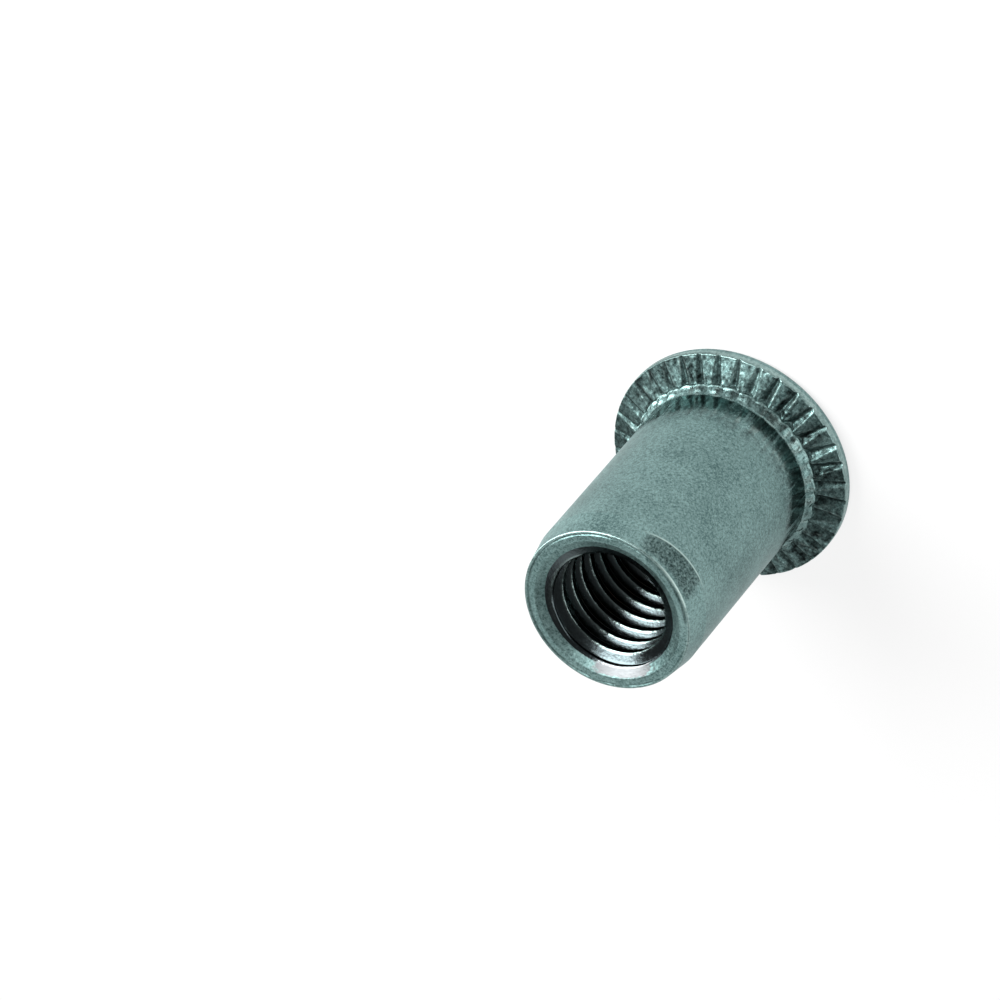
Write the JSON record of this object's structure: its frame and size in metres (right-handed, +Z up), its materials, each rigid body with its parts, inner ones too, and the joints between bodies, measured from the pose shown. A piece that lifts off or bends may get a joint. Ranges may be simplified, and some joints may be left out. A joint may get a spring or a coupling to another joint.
{
  "type": "rivet nut",
  "caption": "Flat-head blind rivet nut: a steel sleeve with a thin-walled bore, a threaded tail and a head with a ring of radial grooves on the side that grips the sheet.",
  "frame": {"origin": "centre of the head's outer face, on which the nut stands", "axes": "+Z up the axis of the sleeve to the tail; X and Y are equal"},
  "size_m": [0.0152, 0.0152, 0.0182],
  "materials": {
    "plated_steel": "tumbled, dull grey-green plating, bright where the grooves and the thread were pressed and cut"
  },
  "bodies": {
    "root": {"rivet_nut": "plated_steel"}
  },
  "joints": []
}
